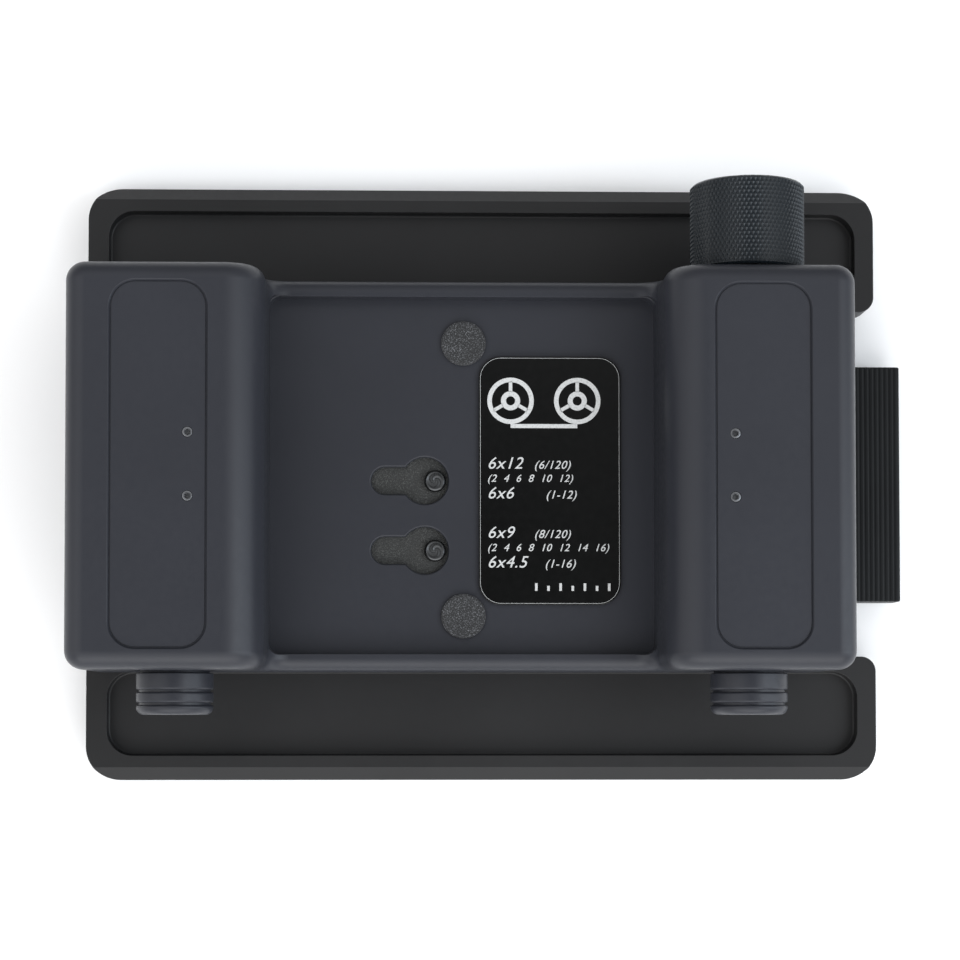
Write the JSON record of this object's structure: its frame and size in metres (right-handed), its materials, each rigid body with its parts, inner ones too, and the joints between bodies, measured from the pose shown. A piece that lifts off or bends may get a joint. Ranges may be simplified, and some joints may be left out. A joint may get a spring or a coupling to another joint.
{
  "type": "roll film back",
  "caption": "Roll film back for a large format camera: flat insert plate, low bridge between two spool towers, knurled winding knob, two pull knobs, dark slide with ribbed grip.",
  "frame": {"origin": "bottom centre of the bounding box, on the front face that goes against the camera", "axes": "+X along the film towards the dark slide grip, +Y along the spools towards the winding knob, +Z from the camera side to the rear"},
  "size_m": [0.1652, 0.1204, 0.0468],
  "materials": {
    "black_anodised": "satin black anodised",
    "grey_anodised": "satin dark grey anodised",
    "polished_steel": "polished",
    "brass": "turned",
    "black_plastic": "moulded",
    "black_label": "smooth, printed in white",
    "red_window": "clear deep red",
    "black_felt": "flocked"
  },
  "bodies": {
    "insert_plate": {"front_plate": "black_anodised", "film_gate": "polished_steel", "film_gate_screw_1": "polished_steel", "film_gate_screw_2": "polished_steel", "film_gate_screw_3": "polished_steel", "film_gate_screw_4": "polished_steel", "slide_light_seal": "black_felt", "light_seal_bar": "polished_steel", "cover_gasket": "black_felt"},
    "dark_slide_unit": {"dark_slide": "polished_steel", "dark_slide_grip": "black_plastic", "grip_rivet_1": "polished_steel", "grip_rivet_2": "polished_steel"},
    "shell": {"rear_shell": "grey_anodised", "label_plate": "black_label", "screw_cover_lower": "black_felt", "screw_cover_upper": "black_felt", "grub_screw_left_lower": "polished_steel", "grub_screw_left_upper": "polished_steel", "grub_screw_right_lower": "polished_steel", "grub_screw_right_upper": "polished_steel", "roll_spring_left": "polished_steel", "roll_spring_right": "polished_steel", "window_plate": "black_anodised", "window_plate_screw_1": "polished_steel", "window_plate_screw_2": "polished_steel", "red_window_upper": "red_window", "red_window_lower": "red_window", "winding_clutch": "brass", "knob_washer": "black_plastic", "supply_pivot": "polished_steel", "roller_axle_left": "polished_steel", "roller_axle_right": "polished_steel", "pin_bush_left": "brass", "pin_bush_right": "brass", "pull_spring_left": "polished_steel", "pull_spring_right": "polished_steel", "pressure_spring_lower": "polished_steel", "pressure_spring_upper": "polished_steel"},
    "winding": {"winding_knob": "black_anodised", "winding_shaft": "polished_steel", "knob_screw": "polished_steel"},
    "takeup": {"takeup_spool": "black_plastic"},
    "roller_left": {"guide_roller_left": "polished_steel"},
    "roller_right": {"guide_roller_right": "polished_steel"},
    "pin_left": {"pull_knob_left": "grey_anodised", "spool_pin_left": "polished_steel"},
    "pin_right": {"pull_knob_right": "grey_anodised", "spool_pin_right": "polished_steel"},
    "pressure_unit": {"pressure_plate": "black_anodised", "pressure_post_lower": "polished_steel", "pressure_post_upper": "polished_steel"},
    "shutter_upper": {"window_shutter_upper": "black_felt"},
    "shutter_lower": {"window_shutter_lower": "black_felt"},
    "cover_screw_1": {"cover_screw_1": "polished_steel"},
    "cover_screw_2": {"cover_screw_2": "polished_steel"},
    "cover_screw_3": {"cover_screw_3": "polished_steel"},
    "cover_screw_4": {"cover_screw_4": "polished_steel"}
  },
  "joints": [
    {"name": "cover_screw_1_turn", "type": "hinge", "parent": "insert_plate", "child": "cover_screw_1", "pos_m": [-0.07905, -0.0352, 0.0018], "axis": [0, 0, 1], "continuous": true},
    {"name": "cover_screw_2_turn", "type": "hinge", "parent": "insert_plate", "child": "cover_screw_2", "pos_m": [-0.07905, 0.0352, 0.0018], "axis": [0, 0, 1], "continuous": true},
    {"name": "cover_screw_3_turn", "type": "hinge", "parent": "insert_plate", "child": "cover_screw_3", "pos_m": [0.06315, -0.0352, 0.0018], "axis": [0, 0, 1], "continuous": true},
    {"name": "cover_screw_4_turn", "type": "hinge", "parent": "insert_plate", "child": "cover_screw_4", "pos_m": [0.06315, 0.0352, 0.0018], "axis": [0, 0, 1], "continuous": true},
    {"name": "dark_slide_pull", "type": "slide", "parent": "insert_plate", "child": "dark_slide_unit", "axis": [1, 0, 0], "range_m": [0, 0.142]},
    {"name": "shell_lift", "type": "slide", "parent": "insert_plate", "child": "shell", "axis": [0, 0, 1], "range_m": [0, 0.045]},
    {"name": "winding_turn", "type": "hinge", "parent": "shell", "child": "winding", "pos_m": [0.04825, 0.047, 0.0305], "axis": [0, 1, 0], "continuous": true},
    {"name": "takeup_turn", "type": "hinge", "parent": "shell", "child": "takeup", "pos_m": [0.04825, 0, 0.0305], "axis": [0, 1, 0], "continuous": true},
    {"name": "roller_left_turn", "type": "hinge", "parent": "shell", "child": "roller_left", "pos_m": [-0.07615, 0, 0.0094], "axis": [0, 1, 0], "continuous": true},
    {"name": "roller_right_turn", "type": "hinge", "parent": "shell", "child": "roller_right", "pos_m": [0.06025, 0, 0.0094], "axis": [0, 1, 0], "continuous": true},
    {"name": "pin_left_pull", "type": "slide", "parent": "shell", "child": "pin_left", "axis": [0, -1, 0], "range_m": [0, 0.0055], "stiffness_N_per_m": 600, "springref_m": -0.004, "deforming": ["pull_spring_left"]},
    {"name": "pin_right_pull", "type": "slide", "parent": "shell", "child": "pin_right", "axis": [0, -1, 0], "range_m": [0, 0.0055], "stiffness_N_per_m": 600, "springref_m": -0.004, "deforming": ["pull_spring_right"]},
    {"name": "pressure_plate_lift", "type": "slide", "parent": "shell", "child": "pressure_unit", "axis": [0, 0, 1], "range_m": [0, 0.0008], "stiffness_N_per_m": 400, "springref_m": -0.003, "deforming": ["pressure_spring_lower", "pressure_spring_upper"]},
    {"name": "shutter_upper_open", "type": "slide", "parent": "shell", "child": "shutter_upper", "axis": [-1, 0, 0], "range_m": [0, 0.0099]},
    {"name": "shutter_lower_open", "type": "slide", "parent": "shell", "child": "shutter_lower", "axis": [-1, 0, 0], "range_m": [0, 0.0099]}
  ],
  "couplings": [
    {"joint": "takeup_turn", "follows": "winding_turn", "ratio": 1}
  ]
}
